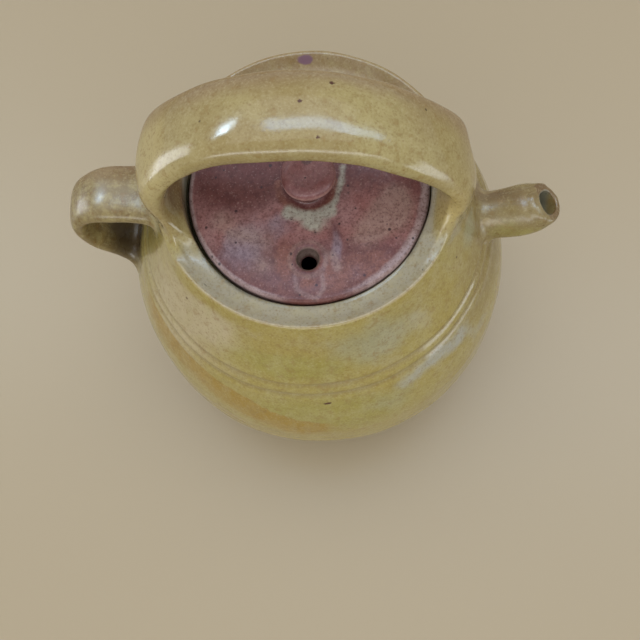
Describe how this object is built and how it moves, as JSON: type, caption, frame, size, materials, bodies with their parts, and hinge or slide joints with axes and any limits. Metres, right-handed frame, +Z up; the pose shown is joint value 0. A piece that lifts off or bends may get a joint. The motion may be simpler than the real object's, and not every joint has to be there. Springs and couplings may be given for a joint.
{
  "type": "teapot",
  "caption": "Glazed stoneware teapot with an arched carrying handle over a recessed lift-off lid, a short spout and a small ear handle.",
  "frame": {"origin": "centre of the flat foot, on the surface the teapot stands on", "axes": "+Z up, +X from the body towards the spout, -X towards the ear handle; the carrying handle arches in the XZ plane"},
  "size_m": [0.2279, 0.1992, 0.2353],
  "materials": {
    "honey_glaze": "glossy mottled honey and olive ash glaze with iron specks",
    "handle_glaze": "glossy honey glaze, thin and brown along the edges",
    "lid_glaze": "satin reddish mauve glaze with pale grey-green runs",
    "knob_glaze": "satin reddish glaze with a pale edge"
  },
  "bodies": {
    "pot": {"body_shell": "honey_glaze", "spout": "honey_glaze", "spout_luting_coil": "honey_glaze", "carrying_handle": "handle_glaze", "carrying_handle_left_root": "handle_glaze", "carrying_handle_right_root": "handle_glaze", "ear_handle": "handle_glaze", "ear_handle_lower_root": "handle_glaze"},
    "lid": {"lid_disc": "lid_glaze", "lid_knob": "knob_glaze", "knob_luting_coil": "lid_glaze"}
  },
  "joints": [
    {"name": "lid_lift", "type": "slide", "parent": "pot", "child": "lid", "axis": [0, 0, 1], "range_m": [0, 0.016]}
  ]
}
